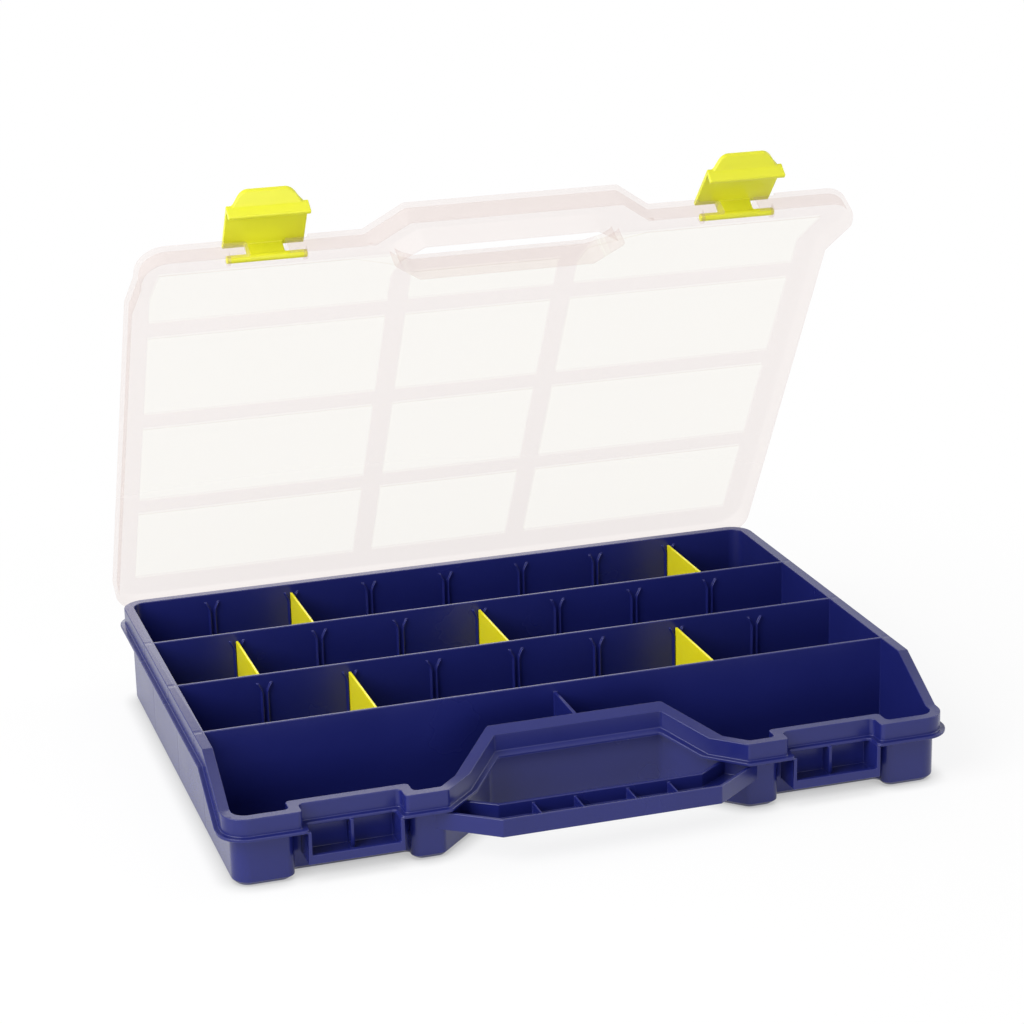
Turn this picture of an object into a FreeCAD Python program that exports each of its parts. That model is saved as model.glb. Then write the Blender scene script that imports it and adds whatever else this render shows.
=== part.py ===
import FreeCAD, Part
import math
import os
import Sketcher
from FreeCAD import Placement, Rotation, Vector

# Assortment case: a blue compartment tray, a clear hinged lid, two yellow latches and six loose dividers.
# The origin lies on the floor plane under the middle row wall, +X to the right, +Y to the hinges, +Z up.

# Driving dimensions in millimetres, angles in degrees.
SIZES = {
    # Tray plan, measured to the inside face of its walls.
    "inner_half_width": 180.8,
    "inner_front": 130.0,
    "row_clear": 63.8,
    "row_wall": 1.8,
    "corner_radius": 7.0,
    "step_radius": 2.5,
    "block_radius": 4.0,
    "bay_centre": 124.0,
    "bay_half_width": 30.5,
    "bay_depth": 9.5,
    "recess_half_width": 79.8,
    "recess_depth": 34.0,
    # Tray heights: the rim drops from the back level to the front level along a slope.
    "rim_back": 54.6,
    "rim_front": 36.4,
    "slope_start": 87.0,
    "slope_end": 120.0,
    "floor": 2.0,
    "foot_chamfer": 2.5,
    # Rim bead and flange.
    "wall": 1.8,
    "rim_width": 5.5,
    "rim_skin": 1.8,
    "upstand_wall": 1.6,
    "upstand": 9.0,
    "flange_out": 2.6,
    "flange_thick": 1.7,
    # Divider slots.
    "slot_pitch": 45.4,
    "slot_top": 50.0,
    "slot_play": 0.2,
    "slot_rib": 1.0,
    "slot_rib_out": 1.5,
    "slot_flare": 2.2,
    "slot_flare_height": 4.5,
    "slot_flare_radius": 6.0,
    "divider_thick": 1.4,
    "divider_gap": 0.3,
    "partition_drop": 4.6,
    # Tray handle: a trough-shaped strap in front of the finger gap.
    "handle_front": 153.0,
    "handle_half": 56.0,
    "handle_root": 75.5,
    "strap_inner": 133.3,
    "strap_inner_half": 52.0,
    "strap_tuck": 120.9,
    "strap_root": 84.6,
    "strap_low": 15.4,
    "strap_top": 24.6,
    "strap_wall": 2.0,
    "strap_rib": 1.2,
    "strap_rib_drop": 1.5,
    "strap_rib_near": 13.5,
    "strap_rib_far": 35.0,
    # Latch bay frame.
    "frame_half": 22.7,
    "frame_rib": 2.0,
    "frame_mid_rib": 1.8,
    "frame_mid_front": 130.0,
    "lip_low": 9.6,
    "lip_top": 14.3,
    "lip_thick": 2.5,
    "shelf_thick": 1.6,
    # Hinge between tray and lid.
    "hinge_back": 141.0,
    "hinge_height": 44.0,
    "hinge_centre": 118.0,
    "hinge_half": 17.0,
    "hinge_rod": 2.0,
    "hinge_ring": 4.0,
    "hinge_cheek": 3.5,
    "hinge_cheek_radius": 3.6,
    "hinge_end_gap": 0.4,
    "hinge_arm": 6.0,
    "running_gap": 0.05,
    # Lid.
    "lid_gap": 0.5,
    "lid_plate": 2.0,
    "lid_wall": 2.0,
    "lid_inset": 0.1,
    "lid_seat_gap": 0.2,
    "window_depth": 0.8,
    "window_edge": 176.0,
    "window_bar": 11.0,
    "window_bar_x": 45.5,
    "window_back": 7.5,
    "window_front": 119.0,
    "window_mid_front": 93.0,
    "window_cut_outer": 78.0,
    "window_cut_front": 105.0,
    "grip_front": 134.2,
    "grip_back": 114.5,
    "grip_tip_y": 125.0,
    "grip_tip": 59.5,
    "grip_half": 45.5,
    "grip_wall": 1.8,
    # Latches.
    "latch_half": 20.5,
    "latch_plate": 2.2,
    "latch_gap": 0.4,
    "latch_swing_gap": 0.3,
    "latch_rod": 2.0,
    "latch_rod_y": 130.0,
    "latch_rod_z": 33.5,
    "latch_neck_half": 9.5,
    "latch_neck": 2.4,
    "latch_cheek_inset": 2.2,
    "latch_cheek": 2.0,
    "latch_cheek_radius": 3.2,
    "latch_side_gap": 0.4,
    "notch_gap": 0.4,
    "notch_back": 2.6,
    "hook_gap": 0.2,
    "hook_reach": 5.6,
    "hook_thick": 2.6,
    "hook_round": 1.1,
    "tab_clear": 1.0,
    "tab_run": 5.0,
    "tab_base_half": 17.8,
    "tab_end_half": 12.5,
    "tab_round": 7.0,
    # Rest pose: lid opening, and how far each latch is swung out from closed.
    "lid_open": 60.0,
    "latch_open_left": 85.0,
    "latch_open_right": 77.5,
}

# Reach of helper solids past the part, and the sink of a piece into the one that it is moulded to.
REACH = 30.0
SINK = 0.6

# Slots that hold a divider in the photographed case: row from the back, slot from the left.
FILLED_SLOTS = ((1, 2), (1, 7), (2, 1), (2, 4), (3, 2), (3, 6))
SLOTS_PER_ROW = 7
SIDES = (("left", -1.0), ("right", 1.0))

doc = FreeCAD.newDocument("assortment_case")
sheet = doc.addObject("Spreadsheet::Sheet", "Sizes")
for row, (alias, number) in enumerate(SIZES.items(), start=1):
    sheet.set(f"A{row}", alias)
    sheet.set(f"B{row}", str(number))
    sheet.setAlias(f"B{row}", alias)
doc.recompute()


class Length:
    """A sum of sheet values and plain numbers, readable as a number or as an expression."""

    def __init__(self, terms, plain=0.0):
        self.terms = terms
        self.plain = plain

    def __add__(self, other):
        other = as_length(other)
        terms = dict(self.terms)
        for alias, factor in other.terms.items():
            terms[alias] = terms.get(alias, 0.0) + factor
        return Length(terms, self.plain + other.plain)

    def __mul__(self, factor):
        return Length({alias: f * factor for alias, f in self.terms.items()}, self.plain * factor)

    def __neg__(self):
        return self * -1.0

    def __sub__(self, other):
        return self + (-as_length(other))

    def __truediv__(self, divisor):
        return self * (1.0 / divisor)

    def value(self):
        return self.plain + sum(f * SIZES[alias] for alias, f in self.terms.items())

    def text(self):
        parts = [f"({f:.9g}) * Sizes.{alias}" for alias, f in self.terms.items()]
        return " + ".join(parts + [f"({self.plain:.9g})"])


def as_length(number):
    return number if isinstance(number, Length) else Length({}, float(number))


def size(alias):
    return Length({alias: 1.0})


ZERO = as_length(0.0)

# Places that several pieces share.
row_pitch = size("row_clear") + size("row_wall")
inner_back = row_pitch * 2.0 - size("row_wall") / 2.0
flange_edge = size("rim_width") + size("flange_out")
flange_drop = size("upstand") + size("flange_thick")
upstand_inner = size("rim_width") - size("upstand_wall")
lid_front = size("inner_front") + flange_edge - size("lid_inset")
lid_under = size("rim_front") + size("lid_gap")
slot_width = size("divider_thick") + size("slot_play") * 2.0
rod_y = -size("latch_rod_y")
rod_z = size("latch_rod_z")
tall = size("rim_back") + REACH

# Plane rotations: sketch axes to world axes, and the sign of the sketch normal on its world axis.
PLANES = {
    "XY": (Rotation(), 1.0),
    "YZ": (Rotation(Vector(1, 1, 1), 120), 1.0),
    "XZ": (Rotation(Vector(1, 0, 0), 90), -1.0),
}


def rounded_path(corners):
    """Turn corners (x, y, radius or None) into line ends and arcs; each item is (start, end, arc data)."""
    count = len(corners)
    spots = [Vector(x.value(), y.value(), 0) for x, y, radius in corners]
    entries, exits, arcs = [], [], []
    for i, (x, y, radius) in enumerate(corners):
        into = (spots[i] - spots[i - 1]).normalize()
        out = (spots[(i + 1) % count] - spots[i]).normalize()
        if radius is None:
            entries.append((x, y))
            exits.append((x, y))
            arcs.append(None)
            continue
        turn = into.getAngle(out)
        tangent = radius * math.tan(turn / 2.0)
        entries.append((x - tangent * into.x, y - tangent * into.y))
        exits.append((x + tangent * out.x, y + tangent * out.y))
        inward = (out - into).normalize()
        middle = spots[i] + inward * (radius.value() * (1.0 / math.cos(turn / 2.0) - 1.0))
        arcs.append((radius, middle))
    path = []
    for i in range(count):
        if arcs[i] is not None:
            path.append((entries[i], exits[i], arcs[i]))
        path.append((exits[i], entries[(i + 1) % count], None))
    return path


def add_loop(sketch, corners):
    """Draw one closed loop; returns its constraints, each with the length that drives it or None."""
    path = rounded_path(corners)
    first = sketch.GeometryCount
    for start, end, arc in path:
        a = Vector(start[0].value(), start[1].value(), 0)
        b = Vector(end[0].value(), end[1].value(), 0)
        sketch.addGeometry(Part.LineSegment(a, b) if arc is None else Part.Arc(a, arc[1], b), False)
    ends = [edge_ends(sketch, first + i, path[i]) for i in range(len(path))]
    rules = []
    for i, (start, end, arc) in enumerate(path):
        here = first + i
        after = (i + 1) % len(path)
        joined = Sketcher.Constraint("Coincident", here, ends[i][1], first + after, ends[after][0])
        rules.append((joined, None))
        for kind, length in (("DistanceX", start[0]), ("DistanceY", start[1])):
            rules.append((Sketcher.Constraint(kind, -1, 1, here, ends[i][0], length.value()), length))
        if arc is not None:
            rules.append((Sketcher.Constraint("Radius", here, arc[0].value()), arc[0]))
    return rules


def edge_ends(sketch, index, item):
    """Vertex numbers of an edge's start and end along the path; an arc always runs counter-clockwise."""
    start = Vector(item[0][0].value(), item[0][1].value(), 0)
    if sketch.getPoint(index, 1).distanceToPoint(start) < 1e-6:
        return 1, 2
    return 2, 1


def draw(name, loops, plane):
    """A sketch of closed loops on a world plane; a corner is (x, y) or (x, y, radius)."""
    sketch = doc.addObject("Sketcher::SketchObject", name + "_sketch")
    sketch.Placement = Placement(Vector(), PLANES[plane][0])
    rules = []
    for corners in loops:
        rules += add_loop(sketch, [(as_length(corner[0]), as_length(corner[1]), (corner[2:] or (None,))[0])
                                   for corner in corners])
    sketch.addConstraint([rule for rule, length in rules])
    for index, (rule, length) in enumerate(rules):
        if length is not None:
            sketch.setExpression(f"Constraints[{index}]", length.text())
    return sketch


def prism(name, loops, plane, low, high):
    """Extrude closed loops drawn on a world plane between two places on the axis square to it."""
    sign = PLANES[plane][1]
    solid = doc.addObject("Part::Extrusion", name)
    solid.Base = draw(name, loops, plane)
    solid.DirMode = "Normal"
    solid.FaceMakerClass = "Part::FaceMakerBullseye"
    solid.Solid = True
    forward = as_length(high) if sign > 0 else -as_length(low)
    reverse = -as_length(low) if sign > 0 else as_length(high)
    solid.setExpression("LengthFwd", forward.text())
    solid.setExpression("LengthRev", reverse.text())
    return solid


def box(name, x, y, z):
    """A box from (low, high) pairs along each axis."""
    solid = doc.addObject("Part::Box", name)
    for axis, side, (low, high) in (("x", "Length", x), ("y", "Width", y), ("z", "Height", z)):
        solid.setExpression(side, (as_length(high) - low).text())
        solid.setExpression(f"Placement.Base.{axis}", as_length(low).text())
    return solid


def tapered(name, low_loop, high_loop, height):
    """A solid from one loop on the floor plane to a loop of as many corners at a height."""
    sketches = [draw(name + "_low", [low_loop], "XY"), draw(name + "_high", [high_loop], "XY")]
    sketches[1].setExpression("Placement.Base.z", as_length(height).text())
    solid = doc.addObject("Part::Loft", name)
    solid.Sections = sketches
    solid.Solid = True
    solid.Ruled = True
    return solid


def rod_x(name, radius, x, y, z):
    """A round bar along X from low x to high x."""
    solid = doc.addObject("Part::Cylinder", name)
    solid.Placement = Placement(Vector(), Rotation(Vector(0, 1, 0), 90))
    low, high = x
    solid.setExpression("Radius", as_length(radius).text())
    solid.setExpression("Height", (as_length(high) - low).text())
    for axis, place in (("x", low), ("y", y), ("z", z)):
        solid.setExpression(f"Placement.Base.{axis}", as_length(place).text())
    return solid


def fuse(name, pieces):
    result = doc.addObject("Part::MultiFuse", name)
    result.Shapes = pieces
    return result


def cut(name, base, tool):
    result = doc.addObject("Part::Cut", name)
    result.Base = base
    result.Tool = tool
    return result


def common(name, base, tool):
    result = doc.addObject("Part::Common", name)
    result.Base = base
    result.Tool = tool
    return result


def ring(name, outer, inner, low, high):
    """An upright ring between two plan outlines."""
    return cut(name, prism(name + "_outer", [outer], "XY", low, high),
               prism(name + "_inner", [inner], "XY", as_length(low) - SINK, as_length(high) + SINK))


def mirrored(corners):
    """Close a right-hand run of corners, back to front, with its mirror image; runs counter-clockwise."""
    left = [(-corner[0],) + tuple(corner[1:]) for corner in corners]
    return left + corners[::-1]


def grown(corners, distance):
    """Move every side of a counter-clockwise outline outward by a distance; radii stay as they are."""
    distance = as_length(distance)
    count = len(corners)
    spots = [Vector(corner[0].value(), corner[1].value(), 0) for corner in corners]
    moved = []
    for i, corner in enumerate(corners):
        into = (spots[i] - spots[i - 1]).normalize()
        out = (spots[(i + 1) % count] - spots[i]).normalize()
        normals = Vector(into.y + out.y, -into.x - out.x, 0)
        shift = normals / (1.0 + into.dot(out))
        moved.append((corner[0] + distance * shift.x, corner[1] + distance * shift.y) + tuple(corner[2:]))
    return moved


def rim_band(name, low, high):
    """A thick sheet that follows the rim's side profile, between two heights measured from the rim top."""
    back = inner_back + REACH
    front = -(size("handle_front") + REACH)
    start = -size("slope_start")
    end = -size("slope_end")
    top = size("rim_back")
    bottom = size("rim_front")
    corners = [
        (back, top + low), (back, top + high), (start, top + high), (end, bottom + high),
        (front, bottom + high), (front, bottom + low), (end, bottom + low), (start, top + low),
    ]
    half = size("inner_half_width") + REACH
    return prism(name, [corners], "YZ", -half, half)


def tray_outline(offset, step=size("step_radius")):
    """Plan of the tray's wall at an offset outward from its inside face."""
    offset = as_length(offset)
    half = size("inner_half_width")
    front = -size("inner_front")
    bay = front + size("bay_depth")
    bay_outer = size("bay_centre") + size("bay_half_width")
    bay_inner = size("bay_centre") - size("bay_half_width")
    recess_outer = size("recess_half_width")
    recess_inner = recess_outer - size("recess_depth")
    recess = front + size("recess_depth")
    main = size("corner_radius") + offset
    return grown(mirrored([
        (half, inner_back, main), (half, front, main),
        (bay_outer, front, step), (bay_outer, bay, step), (bay_inner, bay, step), (bay_inner, front, step),
        (recess_outer, front, step), (recess_inner, recess, step),
    ]), offset)


def tray_ring(name, outer, inner):
    """An upright ring between two tray outlines, taller than the case."""
    return ring(name, tray_outline(outer), tray_outline(inner), ZERO, tall)


# Tray

def tray_shell():
    """Floor and outer walls: the wall top follows the rim profile, and the foot is chamfered all round."""
    chamfer = size("foot_chamfer")
    step = size("block_radius")
    outline = tray_outline(size("wall"), step)
    foot = tapered("shell_foot", tray_outline(size("wall") - chamfer, step), outline, chamfer)
    upper = prism("shell_upper", [outline], "XY", chamfer, tall)
    outer = fuse("shell_outer", [foot, upper])
    block = common("shell_block", outer, rim_band("shell_below_rim", -tall, ZERO))
    cavity = prism("shell_cavity", [tray_outline(ZERO)], "XY", size("floor"), tall)
    return cut("tray_shell", block, cavity)


def tray_rim():
    """Hollow bead along the wall top with the flange round its foot, notched for the hinge rings."""
    bead = common("bead", tray_ring("bead_ring", size("rim_width"), size("wall") - SINK),
                  rim_band("bead_band", -flange_drop, ZERO))
    hollow = common("bead_hollow", tray_ring("bead_hollow_ring", upstand_inner, size("wall")),
                    rim_band("bead_hollow_band", -flange_drop - SINK, -size("rim_skin")))
    flange = common("flange", tray_ring("flange_ring", flange_edge, upstand_inner),
                    rim_band("flange_band", -flange_drop, -size("upstand")))
    half = size("hinge_half") + size("hinge_end_gap")
    depth = (inner_back + size("rim_width") + size("lid_inset"), inner_back + REACH)
    height = (size("rim_back") - flange_drop - SINK, size("rim_back") - size("upstand") + SINK)
    notches = []
    for name, side in SIDES:
        middle = size("hinge_centre") * side
        notches.append(box("flange_notch_" + name, (middle - half, middle + half), depth, height))
    return [cut("bead_shell", bead, hollow),
            cut("flange_notched", flange, fuse("flange_notches", notches))]


def tray_walls():
    """Three row walls, and the lower fixed partition that halves the front row."""
    half = size("inner_half_width") + SINK
    face = size("row_wall") / 2.0
    low = size("floor") - SINK
    walls = [box(f"row_wall_{number}", (-half, half), (place - face, place + face), (low, size("rim_back")))
             for number, place in ((1, row_pitch), (2, ZERO), (3, -row_pitch))]
    front = -(size("inner_front") - size("recess_depth") + SINK)
    top = size("rim_back") - size("partition_drop")
    partition = box("front_partition_block", (-face, face), (front, -row_pitch), (low, top))
    walls.append(common("front_partition", partition, rim_band("partition_below_rim", -tall, ZERO)))
    return walls


def slot_place(number):
    return size("slot_pitch") * float(number - (SLOTS_PER_ROW + 1) // 2)


def slot_ribs(number):
    """Outlines of the two upright ribs beside one slot, curved apart at the top."""
    flare = size("slot_flare")
    curve = size("slot_flare_radius")
    low = size("floor") - SINK
    top = size("slot_top")
    bend = top - size("slot_flare_height")
    ribs = []
    for side in (-1.0, 1.0):
        inner = slot_place(number) + slot_width * (side / 2.0)
        outer = inner + size("slot_rib") * side
        ribs.append([(inner, low), (outer, low), (outer, bend, curve), (outer + flare * side, top),
                     (inner + flare * side, top), (inner, bend, curve)])
    return ribs


def tray_slots():
    """Pairs of ribs that hold the dividers, on both faces of each row."""
    out = size("slot_rib_out")
    face = size("row_wall") / 2.0
    spans = {
        "back": (inner_back - out, inner_back + SINK),
        "first": (row_pitch - face - out, row_pitch + face + out),
        "second": (-face - out, face + out),
        "third": (-row_pitch, -row_pitch + face + out),
    }
    return [prism(f"slot_{name}_{number}", slot_ribs(number), "XZ", *span)
            for name, span in spans.items() for number in range(1, SLOTS_PER_ROW + 1)]


def tray_handle():
    """Trough-shaped strap with four cross ribs, moulded to the walls beside the finger gap."""
    wall = size("strap_wall")
    mid_wall = size("wall") / 2.0
    root_y = -(size("inner_front") + mid_wall)
    flank_x = size("recess_half_width") - size("inner_front") - size("wall") * math.sqrt(0.5)
    outline = mirrored([
        (size("strap_inner_half"), -size("strap_inner")),
        (flank_x + size("strap_tuck"), -size("strap_tuck")),
        (flank_x + size("inner_front") + mid_wall, root_y),
        (size("strap_root"), root_y),
        (size("handle_half"), -size("handle_front")),
    ])
    low = size("strap_low")
    top = size("strap_top")
    block = prism("strap_block", [outline], "XY", low, top)
    trough = prism("strap_trough", [grown(outline, -wall)], "XY", low + wall, top + SINK)
    half = size("strap_rib") / 2.0
    pieces = [cut("strap", block, trough)]
    for name, side in SIDES:
        for spot in ("near", "far"):
            middle = size("strap_rib_" + spot) * side
            pieces.append(box(f"strap_rib_{spot}_{name}", (middle - half, middle + half),
                              (-size("handle_front") + wall - SINK, -size("strap_inner") - wall + SINK),
                              (low + wall - SINK, top - size("strap_rib_drop"))))
    return pieces


def tray_bays():
    """Frame under each latch bay: two side ribs, a middle rib, and a shelf with the lip for the hook."""
    back = -(size("inner_front") - size("bay_depth") + size("wall") / 2.0)
    front = -(size("inner_front") + flange_edge)
    low = size("lip_low")
    top = size("rim_front") - flange_drop + SINK
    rib = size("frame_rib") / 2.0
    pieces = []
    for name, side in SIDES:
        middle = size("bay_centre") * side
        for edge_name, edge in SIDES:
            place = middle + size("frame_half") * edge
            pieces.append(box(f"bay_rib_{name}_{edge_name}", (place - rib, place + rib),
                              (front, back), (low, top)))
        mid = size("frame_mid_rib") / 2.0
        pieces.append(box("bay_mid_rib_" + name, (middle - mid, middle + mid),
                          (-size("frame_mid_front"), back), (low, top)))
        span = (middle - size("frame_half"), middle + size("frame_half"))
        pieces.append(box("bay_shelf_" + name, span, (front, back), (low, low + size("shelf_thick"))))
        pieces.append(box("bay_lip_" + name, span,
                          (front, front + size("lip_thick")), (low, size("lip_top"))))
    return pieces


def hinge_cheek_span(side, edge):
    """Low and high x of one tray cheek beside a hinge ring."""
    near = size("hinge_centre") * side + (size("hinge_half") + size("hinge_end_gap")) * edge
    far = near + size("hinge_cheek") * edge
    return (near, far) if edge > 0 else (far, near)


def tray_hinges():
    """Two cheeks and a round rod at each hinge, moulded to the back of the rim."""
    radius = size("hinge_cheek_radius")
    axis_y = size("hinge_back")
    axis_z = size("hinge_height")
    pieces = []
    for name, side in SIDES:
        for edge_name, edge in SIDES:
            span = hinge_cheek_span(side, edge)
            pieces.append(box(f"hinge_block_{name}_{edge_name}", span,
                              (inner_back + size("rim_width") - SINK, axis_y),
                              (axis_z - radius, axis_z + radius)))
            pieces.append(rod_x(f"hinge_cheek_{name}_{edge_name}", radius, span, axis_y, axis_z))
        ends = (hinge_cheek_span(side, -1.0)[0], hinge_cheek_span(side, 1.0)[1])
        pieces.append(rod_x("hinge_rod_" + name, size("hinge_rod"), ends, axis_y, axis_z))
    return pieces


def make_tray():
    pieces = [tray_shell()] + tray_rim() + tray_walls() + tray_slots()
    pieces += tray_handle() + tray_bays() + tray_hinges()
    return fuse("tray", pieces)


# Lid, modelled closed and then swung open about the hinge

def lid_outline(inset):
    """Plan of the lid's edge, inset from its outer face, with the handle half standing out at the front."""
    inset = as_length(inset)
    main = size("corner_radius") + flange_edge - size("lid_inset") - inset
    step = size("step_radius")
    half = size("inner_half_width") + flange_edge - size("lid_inset")
    return grown(mirrored([
        (half, inner_back + flange_edge - size("lid_inset"), main), (half, -lid_front, main),
        (size("handle_root"), -lid_front, step), (size("handle_half"), -size("handle_front"), step),
    ]), -inset)


def grip_outline():
    """Six-sided finger slot in the lid."""
    step = size("step_radius")
    return mirrored([
        (size("grip_half"), -size("grip_back"), step), (size("grip_tip"), -size("grip_tip_y"), step),
        (size("grip_half"), -size("grip_front"), step),
    ])


def window_loops():
    """Twelve window panels in three columns; the front row follows the handle."""
    bar = size("window_bar") / 2.0
    inner = size("window_bar_x") + bar
    mid = size("window_bar_x") - bar
    edge = size("window_edge")
    rows = [
        (row_pitch + bar, inner_back - size("window_back")),
        (bar, row_pitch - bar),
        (bar - row_pitch, -bar),
    ]
    loops = []
    for low, high in rows:
        for left, right in ((-edge, -inner), (-mid, mid), (inner, edge)):
            loops.append([(left, low), (right, low), (right, high), (left, high)])
    top = -row_pitch - bar
    front = -size("window_front")
    for side in (-1.0, 1.0):
        loops.append([(inner * side, top), (edge * side, top), (edge * side, front),
                      (size("window_cut_outer") * side, front), (inner * side, -size("window_cut_front"))])
    mid_front = -size("window_mid_front")
    loops.append([(-mid, top), (mid, top), (mid, mid_front), (-mid, mid_front)])
    return loops


def lid_shell():
    """Plate, skirt, the deeper skirt of the handle half and the wall round the finger slot."""
    outline = lid_outline(ZERO)
    handle_low = size("strap_top") + size("lid_seat_gap")
    plate = common("lid_plate", prism("lid_plate_prism", [outline, grip_outline()], "XY", ZERO, tall),
                   rim_band("lid_plate_band", size("lid_gap"), size("lid_gap") + size("lid_plate")))
    inside = lid_outline(size("lid_wall"))
    skirt = common("lid_skirt", ring("lid_skirt_ring", outline, inside, ZERO, tall),
                   rim_band("lid_skirt_band", size("lid_seat_gap") - size("upstand"), size("lid_gap") + SINK))
    nose = common("lid_nose", ring("lid_nose_ring", outline, inside, handle_low, lid_under + SINK),
                  box("lid_nose_reach", (-size("handle_root"), size("handle_root")),
                      (-size("handle_front") - REACH, -lid_front - SINK), (ZERO, tall)))
    collar = grown(grip_outline(), size("grip_wall"))
    grip = common("lid_grip", ring("lid_grip_ring", collar, grip_outline(), handle_low, tall),
                  rim_band("lid_grip_band", -tall, size("lid_gap") + SINK))
    return [plate, skirt, nose, grip]


def lid_hinges():
    """Rings round the tray's rods, with the arms that join them to the skirt."""
    low = size("rim_back") - size("upstand") + size("lid_seat_gap")
    inside = inner_back + flange_edge - size("lid_inset") - size("lid_wall") + SINK
    pieces = []
    for name, side in SIDES:
        middle = size("hinge_centre") * side
        span = (middle - size("hinge_half"), middle + size("hinge_half"))
        pieces.append(rod_x("hinge_ring_" + name, size("hinge_ring"), span,
                            size("hinge_back"), size("hinge_height")))
        pieces.append(box("hinge_arm_" + name, span,
                          (inside, size("hinge_back")), (low, low + size("hinge_arm"))))
    return pieces


def latch_cheek_span(side, edge):
    """Low and high x of one lid cheek that carries a latch rod."""
    near = size("bay_centre") * side + (size("latch_half") - size("latch_cheek_inset")) * edge
    far = near + size("latch_cheek") * edge
    return (near, far) if edge > 0 else (far, near)


def lid_latch_cheeks():
    """Cheeks under the lid plate at both ends of each latch rod."""
    radius = size("latch_cheek_radius")
    pieces = []
    for name, side in SIDES:
        for edge_name, edge in SIDES:
            span = latch_cheek_span(side, edge)
            pieces.append(box(f"latch_cheek_block_{name}_{edge_name}", span,
                              (rod_y - radius, rod_y + radius), (rod_z, lid_under + SINK)))
            pieces.append(rod_x(f"latch_cheek_{name}_{edge_name}", radius, span, rod_y, rod_z))
    return pieces


def lid_edge_rounding(name, side):
    """What is cut off the lid's front edge so that the latch plate swings round it."""
    middle = size("bay_centre") * side
    reach = size("latch_half") + size("latch_side_gap")
    span = (middle - reach, middle + reach)
    radius = lid_front - size("latch_rod_y") + size("latch_gap") - size("latch_swing_gap")
    corner = box("edge_corner_" + name, span,
                 (-lid_front - SINK, -lid_front + size("lid_wall")), (rod_z, tall))
    return cut("edge_rounding_" + name, corner, rod_x("edge_kept_" + name, radius, span, rod_y, rod_z))


def lid_cuts():
    """Window pockets, hinge and latch bores, notches for the latch necks and for the tray's cheeks."""
    cuts = [common("windows", prism("window_prisms", window_loops(), "XY", ZERO, tall),
                   rim_band("window_band", size("lid_gap") - SINK, size("lid_gap") + size("window_depth")))]
    gap = size("hinge_end_gap")
    low = size("rim_back") - size("upstand") - SINK
    for name, side in SIDES:
        hinge = size("hinge_centre") * side
        reach = size("hinge_half") + SINK
        cuts.append(rod_x("hinge_bore_" + name, size("hinge_rod") + size("running_gap"),
                          (hinge - reach, hinge + reach), size("hinge_back"), size("hinge_height")))
        for edge_name, edge in SIDES:
            span = hinge_cheek_span(side, edge)
            cuts.append(box(f"skirt_notch_{name}_{edge_name}", (span[0] - gap, span[1] + gap),
                            (inner_back + size("rim_width"), inner_back + REACH),
                            (low, size("hinge_height") + size("hinge_cheek_radius") + gap)))
        latch = size("bay_centre") * side
        reach = size("latch_half") - size("latch_cheek_inset") + size("latch_cheek") + SINK
        cuts.append(rod_x("latch_bore_" + name, size("latch_rod") + size("running_gap"),
                          (latch - reach, latch + reach), rod_y, rod_z))
        cuts.append(lid_edge_rounding(name, side))
        half = size("latch_neck_half") + size("notch_gap")
        cuts.append(box("neck_notch_" + name, (latch - half, latch + half),
                        (-lid_front - SINK, rod_y + size("notch_back")),
                        (ZERO, tall)))
    return fuse("lid_cuts", cuts)


def swing_open(piece, pivot_y, pivot_z, turn):
    """Turn a closed piece about X: first by its own turn about its pivot, then with the lid."""
    opening = "Sizes.lid_open"
    total = f"({opening} + {turn})" if turn else opening
    hinge_y = "Sizes.hinge_back"
    hinge_z = "Sizes.hinge_height"
    arm_y = f"({pivot_y} - {hinge_y})"
    arm_z = f"({pivot_z} - {hinge_z})"
    piece.Placement = Placement(Vector(), Rotation(Vector(1, 0, 0), -1.0))
    piece.setExpression("Placement.Rotation.Angle", f"0 - {total}")
    piece.setExpression("Placement.Base.y", f"{hinge_y} + {arm_y} * cos({opening}) + {arm_z} * sin({opening})"
                        f" - {pivot_y} * cos({total}) - {pivot_z} * sin({total})")
    piece.setExpression("Placement.Base.z", f"{hinge_z} - {arm_y} * sin({opening}) + {arm_z} * cos({opening})"
                        f" + {pivot_y} * sin({total}) - {pivot_z} * cos({total})")


def make_lid():
    solid = fuse("lid_solid", lid_shell() + lid_hinges() + lid_latch_cheeks())
    lid = cut("lid", solid, lid_cuts())
    swing_open(lid, "Sizes.hinge_back", "Sizes.hinge_height", "")
    return lid


# Latches, modelled closed and then swung out with the lid

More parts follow.
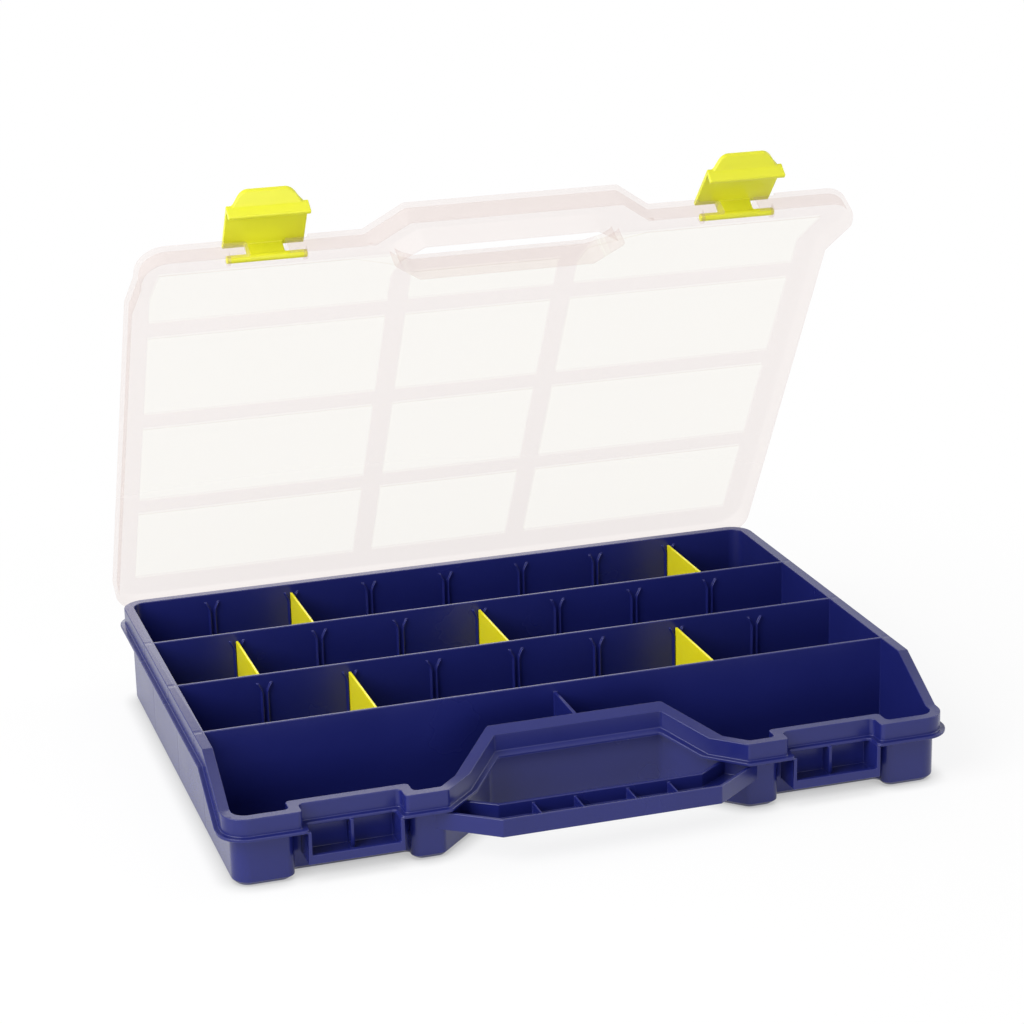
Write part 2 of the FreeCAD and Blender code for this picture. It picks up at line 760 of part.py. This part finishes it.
def make_latch(name, side):
    """Front plate with a hook ledge and a flared finger tab, on a neck and a rod inside the lid."""
    middle = size("bay_centre") * side
    half = size("latch_half")
    inside = -(lid_front + size("latch_gap"))
    outside = inside - size("latch_plate")
    top = rod_z + size("latch_neck") / 2.0
    hook_top = size("lip_low") - size("hook_gap")
    hook_low = hook_top - size("hook_thick")
    tip = inside + size("hook_reach")
    span = (middle - half, middle + half)
    curve = size("hook_round")
    profile = [(outside, top), (outside, hook_low), (tip, hook_low, curve), (tip, hook_top, curve),
               (inside, hook_top), (inside, top)]
    plate = prism(name + "_plate", [profile], "YZ", *span)
    end = size("tab_clear")
    run = size("tab_run")
    seam = hook_low + SINK
    slant = [(inside, seam), (outside, seam), (outside - run, end), (inside - run, end)]
    slab = prism(name + "_tab_slab", [slant], "YZ", *span)
    base = size("tab_base_half")
    finger = size("tab_end_half")
    corner = size("tab_round")
    front_view = [(middle - base, seam), (middle + base, seam),
                  (middle + finger, end, corner), (middle - finger, end, corner)]
    face = prism(name + "_tab_face", [front_view], "XZ", outside - run - SINK, inside + SINK)
    neck_half = size("latch_neck_half")
    neck = box(name + "_neck", (middle - neck_half, middle + neck_half), (outside + SINK, rod_y),
               (rod_z - size("latch_neck") / 2.0, top))
    reach = half - size("latch_cheek_inset") + size("latch_cheek") - size("running_gap")
    rod = rod_x(name + "_rod", size("latch_rod"), (middle - reach, middle + reach), rod_y, rod_z)
    latch = fuse("latch_" + name, [plate, common(name + "_tab", slab, face), neck, rod])
    swing_open(latch, "(0 - Sizes.latch_rod_y)", "Sizes.latch_rod_z", "Sizes.latch_open_" + name)
    return latch


# Dividers

def make_divider(row, slot):
    """Loose plate that stands on the floor between two facing slots."""
    back = inner_back - row_pitch * float(row - 1)
    half = size("divider_thick") / 2.0
    gap = size("divider_gap")
    middle = slot_place(slot)
    return box(f"divider_row{row}_slot{slot}", (middle - half, middle + half),
               (back - size("row_clear") + gap, back - gap), (size("floor"), size("slot_top")))


def check_document():
    """Stop when any object failed to build or a shape is empty or not valid."""
    for thing in doc.Objects:
        if "Invalid" in thing.State or "Error" in thing.State:
            raise RuntimeError(f"{thing.Name} did not build: {thing.State}")
        shape = getattr(thing, "Shape", None)
        if shape is not None and (shape.isNull() or not shape.isValid()):
            raise RuntimeError(f"{thing.Name} has an empty or broken shape")


nodes = {"tray": make_tray(), "lid": make_lid()}
for side_name, sign in SIDES:
    nodes["latch_" + side_name] = make_latch(side_name, sign)
for row_number, slot_number in FILLED_SLOTS:
    nodes[f"divider_row{row_number}_slot{slot_number}"] = make_divider(row_number, slot_number)
doc.recompute()
check_document()

os.makedirs("parts", exist_ok=True)
for node, thing in nodes.items():
    thing.Label = node
    thing.Shape.exportStep(f"parts/{node}.step")
    print(node, len(thing.Shape.Solids), "solid", round(thing.Shape.Volume), "mm3", thing.Shape.BoundBox)
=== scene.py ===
# %% [markdown]
# # An assortment case in moulded plastic
# The case is an injection moulded tray, a clear lid, two latches and six loose dividers. Every shape comes
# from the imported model, which is loaded as a fixed frame. This lesson gives the pieces their soft moulded
# edges, their plastics, a white studio table and the camera.

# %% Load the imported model
import math

import bpy
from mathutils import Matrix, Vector


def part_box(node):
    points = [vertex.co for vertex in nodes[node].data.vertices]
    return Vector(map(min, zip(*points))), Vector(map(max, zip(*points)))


MM = 0.001
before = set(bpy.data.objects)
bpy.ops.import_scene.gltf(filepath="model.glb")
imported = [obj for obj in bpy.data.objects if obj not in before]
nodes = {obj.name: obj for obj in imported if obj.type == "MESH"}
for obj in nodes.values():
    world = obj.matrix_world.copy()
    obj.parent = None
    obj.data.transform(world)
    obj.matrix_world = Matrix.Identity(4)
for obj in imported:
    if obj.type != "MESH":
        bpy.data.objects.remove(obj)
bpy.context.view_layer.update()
print("pieces:", ", ".join(sorted(nodes)))

# %% [markdown]
# ## Colours and shader nodes
# A colour is picked as an sRGB hex value, as on a colour card, but a shader works in linear light. One
# function turns the first into the second. Another adds a node with its settings and links, so that each
# material below reads as a short recipe.

# %% Helpers for colours and shader nodes


def linear(hex_colour):
    """Linear RGBA of an sRGB hex value such as '#1b1d4d'."""
    channels = [int(hex_colour[i:i + 2], 16) / 255 for i in (1, 3, 5)]
    return [c / 12.92 if c <= 0.04045 else ((c + 0.055) / 1.055) ** 2.4 for c in channels] + [1.0]


def add(tree, kind, inputs=None, **settings):
    """Add a node; each input is a plain value or the output socket that feeds it."""
    node = tree.nodes.new(kind)
    for name, value in settings.items():
        setattr(node, name, value)
    for key, value in (inputs or {}).items():
        if isinstance(value, bpy.types.NodeSocket):
            tree.links.new(value, node.inputs[key])
        else:
            node.inputs[key].default_value = value
    return node


def new_material(name):
    """A material with an empty node tree."""
    material = bpy.data.materials.new(name)
    material.use_nodes = True
    material.node_tree.nodes.clear()
    return material, material.node_tree


print("card colour #808080 in linear light:", [round(c, 3) for c in linear("#808080")])

# %% [markdown]
# ## Moulded texture
# All the pieces come out of spark-eroded steel moulds, which leave a fine even grain, and the melt flows
# into the mould in slow swirls that change the colour a little. The grain of a real mould is about 0.1 mm,
# too fine for the picture, so it is drawn at 0.7 mm. The swirls are a few centimetres long.

# %% Grain and flow sizes
GRAIN = 0.7 * MM
GRAIN_DEPTH = 0.02 * MM
FLOW = 40 * MM


def moulded_texture(tree):
    """Position on the piece, slow swirls of the melt and fine grain of the mould."""
    place = add(tree, "ShaderNodeTexCoord").outputs["Object"]
    flow = add(tree, "ShaderNodeTexNoise", {"Vector": place, "Scale": 1 / FLOW, "Detail": 3.0})
    grain = add(tree, "ShaderNodeTexNoise", {"Vector": place, "Scale": 1 / GRAIN, "Detail": 2.0})
    return place, flow.outputs["Fac"], grain.outputs["Fac"]


print("grain, mm:", round(GRAIN / MM, 2), "swirls, mm:", round(FLOW / MM, 1))

# %% [markdown]
# ## Navy polypropylene of the tray
# The tray is satin polypropylene. At a low angle it mirrors the white table, which is what turns the side
# wall pale. Where a row wall meets the side wall on the inside, the plastic is thicker and shrinks more as
# it cools, so the outside shows a shallow upright sink mark. The marks are a tenth of a millimetre deep, too
# little to model, so a bump draws them. The row pitch is measured from two dividers.

# %% Tray plastic
middle_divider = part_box("divider_row2_slot1")
front_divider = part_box("divider_row3_slot2")
ROW_PITCH = middle_divider[0][1] - front_divider[0][1]
SIDE_WALL = 182.2 * MM
SINK_WIDTH = 3.0 * MM
SINK_DEPTH = 0.12 * MM
print("row pitch, mm:", round(ROW_PITCH / MM, 2))


def navy_polypropylene():
    material, tree = new_material("navy_polypropylene_moulded")
    place, flow, grain = moulded_texture(tree)
    axes = add(tree, "ShaderNodeSeparateXYZ", {"Vector": place}).outputs
    out = add(tree, "ShaderNodeMath", {0: axes["X"]}, operation="ABSOLUTE").outputs[0]
    on_side = add(tree, "ShaderNodeMath", {0: out, 1: SIDE_WALL}, operation="GREATER_THAN").outputs[0]
    from_wall = add(tree, "ShaderNodeMath", {0: axes["Y"], 1: ROW_PITCH / 2}, operation="PINGPONG").outputs[0]
    near_wall = add(tree, "ShaderNodeMapRange", {"Value": from_wall, "From Min": 0.0, "From Max": SINK_WIDTH,
                                                 "To Min": 1.0, "To Max": 0.0},
                    interpolation_type="SMOOTHSTEP").outputs["Result"]
    sink = add(tree, "ShaderNodeMath", {0: near_wall, 1: on_side}, operation="MULTIPLY").outputs[0]
    colour = add(tree, "ShaderNodeMix", {"Factor": flow, "A": linear("#1a2062"), "B": linear("#1f256e")},
                 data_type="RGBA").outputs[2]
    shine = add(tree, "ShaderNodeMapRange", {"Value": flow, "To Min": 0.22, "To Max": 0.30}).outputs["Result"]
    bump = add(tree, "ShaderNodeBump", {"Height": grain, "Strength": 0.5, "Distance": GRAIN_DEPTH})
    dent = add(tree, "ShaderNodeBump", {"Height": sink, "Distance": SINK_DEPTH,
                                        "Normal": bump.outputs["Normal"]}, invert=True)
    plastic = add(tree, "ShaderNodeBsdfPrincipled", {
        "Base Color": colour, "Roughness": shine, "Normal": dent.outputs["Normal"], "IOR": 1.45})
    add(tree, "ShaderNodeOutputMaterial", {"Surface": plastic.outputs["BSDF"]})
    print("made", material.name)
    return material


# %% [markdown]
# ## Yellow polypropylene of the latches and dividers
# The small pieces are the same plastic in lemon yellow. Light goes a little way into it, so thin edges
# glow. A translucent shader would let too much light through, so a small amount of subsurface scattering
# does it. The dividers are a slightly warmer yellow than the latches, so each kind has its own two colours.

# %% Yellow plastic


def yellow_polypropylene(name, low, high):
    material, tree = new_material(name)
    flow, grain = moulded_texture(tree)[1:]
    colour = add(tree, "ShaderNodeMix", {"Factor": flow, "A": linear(low), "B": linear(high)},
                 data_type="RGBA").outputs[2]
    bump = add(tree, "ShaderNodeBump", {"Height": grain, "Strength": 0.5, "Distance": GRAIN_DEPTH})
    plastic = add(tree, "ShaderNodeBsdfPrincipled", {
        "Base Color": colour, "Roughness": 0.35, "Normal": bump.outputs["Normal"], "IOR": 1.49,
        "Subsurface Weight": 0.2, "Subsurface Radius": (1.0, 0.9, 0.1), "Subsurface Scale": 1.0 * MM})
    add(tree, "ShaderNodeOutputMaterial", {"Surface": plastic.outputs["BSDF"]})
    print("made", name)
    return material


# %% [markdown]
# ## Window panels of the lid
# The lid has twelve thin window panels with thicker bars and a rim round them. The model has them as shallow
# pockets, and the material needs to know them too, because they are polished and clearer than the bars.
# Painting them by hand would need an image, so they are worked out from the place on the lid. That place is
# turned back to the closed lid, where rows and columns are square to the axes.

# %% Where the window panels lie
LID_OPEN = math.radians(60)
LID_PIVOT = (0.0, 141.0 * MM, 44.0 * MM)
BAR_HALF = 5.5 * MM
BAR_COLUMN = 45.5 * MM
PANEL_EDGE = 176.0 * MM
PANEL_BACK = 122.8 * MM
PANEL_FRONT = 119.0 * MM
PANEL_FRONT_MIDDLE = 93.0 * MM


def window_panels(tree, place):
    """One on the polished panels of the lid and nought on its bars and rim."""
    closed = add(tree, "ShaderNodeVectorRotate", {"Vector": place, "Center": LID_PIVOT, "Angle": LID_OPEN},
                 rotation_type="X_AXIS").outputs["Vector"]
    axes = add(tree, "ShaderNodeSeparateXYZ", {"Vector": closed}).outputs

    across = add(tree, "ShaderNodeMath", {0: axes["X"]}, operation="ABSOLUTE").outputs[0]
    from_bar = add(tree, "ShaderNodeMath", {0: across, 1: BAR_COLUMN}, operation="SUBTRACT").outputs[0]
    from_bar = add(tree, "ShaderNodeMath", {0: from_bar}, operation="ABSOLUTE").outputs[0]
    from_row = add(tree, "ShaderNodeMath", {0: axes["Y"], 1: ROW_PITCH / 2}, operation="PINGPONG").outputs[0]
    outer = add(tree, "ShaderNodeMath", {0: across, 1: BAR_COLUMN}, operation="GREATER_THAN").outputs[0]
    front = add(tree, "ShaderNodeMapRange", {"Value": outer, "To Min": -PANEL_FRONT_MIDDLE,
                                             "To Max": -PANEL_FRONT}).outputs["Result"]
    panel = add(tree, "ShaderNodeMath", {0: axes["Y"], 1: front}, operation="GREATER_THAN").outputs[0]
    for value, limit, test in ((from_bar, BAR_HALF, "GREATER_THAN"), (from_row, BAR_HALF, "GREATER_THAN"),
                               (across, PANEL_EDGE, "LESS_THAN"), (axes["Y"], PANEL_BACK, "LESS_THAN")):
        inside = add(tree, "ShaderNodeMath", {0: value, 1: limit}, operation=test).outputs[0]
        panel = add(tree, "ShaderNodeMath", {0: panel, 1: inside}, operation="MULTIPLY").outputs[0]
    return panel


print("panels end at, mm:", [round(edge / MM, 1) for edge in (PANEL_EDGE, PANEL_BACK, PANEL_FRONT)])

# %% [markdown]
# ## Clear polypropylene of the lid
# The lid is unpigmented polypropylene, clear but a little milky, and the thicker bars hold more haze with a
# warm tint. Solid glass could make it, but a real sheet this thin hardly bends what is seen through it, and
# refraction gives dark lines at each pocket. So a clear shader with that tint is mixed with a little white
# plastic.

# %% Lid plastic
HAZE_PANEL = 0.018
HAZE_BAR = 0.06


def clear_polypropylene():
    material, tree = new_material("clear_polypropylene_moulded")
    place, flow, grain = moulded_texture(tree)
    panel = window_panels(tree, place)
    tint = add(tree, "ShaderNodeMix", {"Factor": panel, "A": linear("#fcf9f8"), "B": linear("#fdfcfa")},
               data_type="RGBA").outputs[2]
    milk = add(tree, "ShaderNodeMix", {"Factor": flow, "A": linear("#eef0f0"), "B": linear("#f8f9f9")},
               data_type="RGBA").outputs[2]
    haze = add(tree, "ShaderNodeMapRange", {"Value": panel, "To Min": HAZE_BAR, "To Max": HAZE_PANEL})
    shine = add(tree, "ShaderNodeMapRange", {"Value": panel, "To Min": 0.3, "To Max": 0.12})
    etched = add(tree, "ShaderNodeMapRange", {"Value": panel, "To Min": 0.2, "To Max": 0.0})
    bump = add(tree, "ShaderNodeBump", {"Height": grain, "Strength": etched.outputs["Result"],
                                        "Distance": GRAIN_DEPTH})
    clear = add(tree, "ShaderNodeBsdfTransparent", {"Color": tint})
    milky = add(tree, "ShaderNodeBsdfPrincipled", {
        "Base Color": milk, "Roughness": shine.outputs["Result"], "Normal": bump.outputs["Normal"],
        "IOR": 1.49})
    sheet = add(tree, "ShaderNodeMixShader", {0: haze.outputs["Result"], 1: clear.outputs["BSDF"],
                                              2: milky.outputs["BSDF"]})
    add(tree, "ShaderNodeOutputMaterial", {"Surface": sheet.outputs["Shader"]})
    print("made", material.name)
    return material


# %% [markdown]
# ## Soft moulded edges
# A mould never gives a knife edge: each corner has a small radius that catches a line of light. A shader can
# fake one, but a bevel also shows in the outline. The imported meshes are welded, their flat faces joined, and
# every sharp edge is rounded. The fold between a latch's plate and its finger tab is shallow and stays as it
# is. Modifiers do all this, so the meshes of the frame are untouched.

# %% Round the edges and assign the plastics
EDGE_RADIUS = {"tray": 0.45 * MM, "lid": 0.4 * MM, "latch": 0.45 * MM, "divider": 0.4 * MM}


SHALLOW_FOLD = {"tray": 35, "lid": 35, "latch": 50, "divider": 35}
WELD_GAP = 0.01 * MM
FLAT_ANGLE = 0.25
EDGE_STEPS = 3


def soften(piece, radius, fold):
    """Weld, join flat faces, round edges that turn more than the fold angle and smooth the shading."""
    weld = piece.modifiers.new("weld", "WELD")
    weld.merge_threshold = WELD_GAP
    flat = piece.modifiers.new("flat_faces", "DECIMATE")
    flat.decimate_type = "DISSOLVE"
    flat.angle_limit = math.radians(FLAT_ANGLE)
    edge = piece.modifiers.new("moulded_edge", "BEVEL")
    edge.width = radius
    edge.segments = EDGE_STEPS
    edge.limit_method = "ANGLE"
    edge.angle_limit = math.radians(fold)
    edge.use_clamp_overlap = False
    shade = piece.modifiers.new("smooth", "WEIGHTED_NORMAL")
    shade.keep_sharp = False
    for face in piece.data.polygons:
        face.use_smooth = True


finishes = {
    "tray": navy_polypropylene(),
    "lid": clear_polypropylene(),
    "latch": yellow_polypropylene("lemon_polypropylene_latch", "#dada2a", "#e2e134"),
    "divider": yellow_polypropylene("yellow_polypropylene_divider", "#f8eb0e", "#fdf21a"),
}
for name, piece in nodes.items():
    kind = name.split("_")[0]
    piece.data.materials.clear()
    piece.data.materials.append(finishes[kind])
    soften(piece, EDGE_RADIUS[kind], SHALLOW_FOLD[kind])
print("finished pieces:", len(nodes))

# %% [markdown]
# ## White table
# The case stands on white paper that runs out of the picture on every side. Seen by the camera, or in a
# reflection, the paper is lifted to white by emission and keeps a pale shadow. Where the case all but touches
# it there is a painted shade seam: an ambient occlusion node looks for the case within a centimetre and turns
# the emission down. As a source of bounced light it is ordinary paper. Away from the case it fades into the
# white backdrop.

# %% Table
TABLE_HALF = 6.0
FADE_FROM = 0.22
FADE_TO = 0.52
# reach and darkest level of the painted shade seam beside the case
PAINTED_SEAM_REACH = 11 * MM
PAINTED_SEAM_LIGHT = 0.45
OPEN_LIGHT = 0.85


def white_paper():
    material, tree = new_material("white_table_paper")
    ray = add(tree, "ShaderNodeLightPath").outputs
    seen = add(tree, "ShaderNodeMath", {0: ray["Is Camera Ray"], 1: ray["Is Glossy Ray"]},
               operation="MAXIMUM").outputs[0]
    seen = add(tree, "ShaderNodeMath", {0: seen, 1: ray["Is Transmission Ray"]}, operation="MAXIMUM").outputs[0]
    spot = add(tree, "ShaderNodeNewGeometry").outputs["Position"]
    away = add(tree, "ShaderNodeVectorMath", {0: spot}, operation="LENGTH").outputs["Value"]
    fade = add(tree, "ShaderNodeMapRange", {"Value": away, "From Min": FADE_FROM, "From Max": FADE_TO},
               interpolation_type="SMOOTHSTEP").outputs["Result"]
    paper = add(tree, "ShaderNodeBsdfDiffuse", {"Color": linear("#f2f2f2")}).outputs["BSDF"]
    shaded = add(tree, "ShaderNodeBsdfDiffuse", {"Color": linear("#6c6c6c")}).outputs["BSDF"]
    # painted shade: where the ambient occlusion finds the case close by, the white emission is lowered into a
    # darker seam
    painted_seam_shade = add(tree, "ShaderNodeAmbientOcclusion", {"Distance": PAINTED_SEAM_REACH}, samples=16).outputs["AO"]
    paper_lift_with_painted_seam = add(tree, "ShaderNodeMapRange", {"Value": painted_seam_shade, "From Min": 0.25, "From Max": 0.95,
                                                  "To Min": PAINTED_SEAM_LIGHT,
                                                  "To Max": OPEN_LIGHT}).outputs["Result"]
    lift = add(tree, "ShaderNodeEmission", {"Strength": paper_lift_with_painted_seam}).outputs["Emission"]
    near = add(tree, "ShaderNodeAddShader", {0: shaded, 1: lift}).outputs["Shader"]
    white = add(tree, "ShaderNodeEmission", {"Strength": 1.0}).outputs["Emission"]
    look = add(tree, "ShaderNodeMixShader", {0: fade, 1: near, 2: white}).outputs["Shader"]
    both = add(tree, "ShaderNodeMixShader", {0: seen, 1: paper, 2: look}).outputs["Shader"]
    add(tree, "ShaderNodeOutputMaterial", {"Surface": both})
    return material


mesh = bpy.data.meshes.new("table")
mesh.from_pydata([(x * TABLE_HALF, y * TABLE_HALF, 0) for x, y in ((-1, -1), (1, -1), (1, 1), (-1, 1))], [],
                 [(0, 1, 2, 3)])
mesh.materials.append(white_paper())
table = bpy.data.objects.new("table", mesh)
bpy.context.scene.collection.objects.link(table)
print("table, m:", 2 * TABLE_HALF)

# %% [markdown]
# ## Light
# The sky is an even soft light, as in a light tent, and white where it is seen. One large softbox stands on
# the left, a little to the front: it reaches the faces of the dividers and leaves the row walls dark. A weak
# low lamp in front lifts the latches, which lean over towards the table. Two more weak lamps do the same for
# the back and the right, so that the case shows its colours from every side.

# %% Sky and lamps
SKY_LIGHT = 0.36
world = bpy.data.worlds.new("light_tent")
world.use_nodes = True
world.node_tree.nodes.clear()
ray = add(world.node_tree, "ShaderNodeLightPath").outputs
seen = add(world.node_tree, "ShaderNodeMath", {0: ray["Is Camera Ray"], 1: ray["Is Glossy Ray"]},
           operation="MAXIMUM").outputs[0]
seen = add(world.node_tree, "ShaderNodeMath", {0: seen, 1: ray["Is Transmission Ray"]},
           operation="MAXIMUM").outputs[0]
strength = add(world.node_tree, "ShaderNodeMapRange", {"Value": seen, "To Min": SKY_LIGHT, "To Max": 1.0})
sky = add(world.node_tree, "ShaderNodeBackground", {"Color": (1, 1, 1, 1),
                                                    "Strength": strength.outputs["Result"]})
add(world.node_tree, "ShaderNodeOutputWorld", {"Surface": sky.outputs["Background"]})
bpy.context.scene.world = world


def soft_lamp(name, size, power, place, target):
    """A square area lamp at a place, turned to a target."""
    lamp = bpy.data.lights.new(name, "AREA")
    lamp.size = size
    lamp.energy = power
    holder = bpy.data.objects.new(name, lamp)
    bpy.context.scene.collection.objects.link(holder)
    holder.location = place
    holder.rotation_euler = (Vector(target) - Vector(place)).to_track_quat("-Z", "Y").to_euler()
    return holder


soft_lamp("left_softbox", 1.3, 29.0, (-1.3, -0.55, 1.1), (0.0, 0.0, 0.05))
soft_lamp("front_fill", 0.9, 11.0, (-0.2, -1.9, 0.2), (0.0, 0.0, 0.15))
soft_lamp("rear_fill", 0.9, 4.0, (0.3, 1.9, 0.6), (0.0, 0.0, 0.1))
soft_lamp("right_fill", 0.9, 8.0, (1.7, 0.1, 0.9), (0.0, 0.0, 0.05))

# %% [markdown]
# ## Camera
# The camera's place was found from the straight edges of the case, so that the picture has the same view.
# Its lens is given in pixels, which Blender wants as millimetres on a 36 mm sensor.

# %% Camera
CAMERA_PLACE = (-402.23 * MM, -1282.58 * MM, 560.66 * MM)
CAMERA_TURN = (72.0681, 1.2672, -17.8203)
FOCAL_PIXELS = 2711.84
PICTURE_PIXELS = 1024
SENSOR = 36.0

camera = bpy.data.cameras.new("camera")
camera.sensor_width = SENSOR
camera.lens = FOCAL_PIXELS / PICTURE_PIXELS * SENSOR
view = bpy.data.objects.new("camera", camera)
view.location = CAMERA_PLACE
view.rotation_euler = [math.radians(angle) for angle in CAMERA_TURN]
bpy.context.scene.collection.objects.link(view)
bpy.context.scene.camera = view
bpy.context.scene.view_settings.view_transform = "Standard"
print("lens, mm:", round(camera.lens, 2))
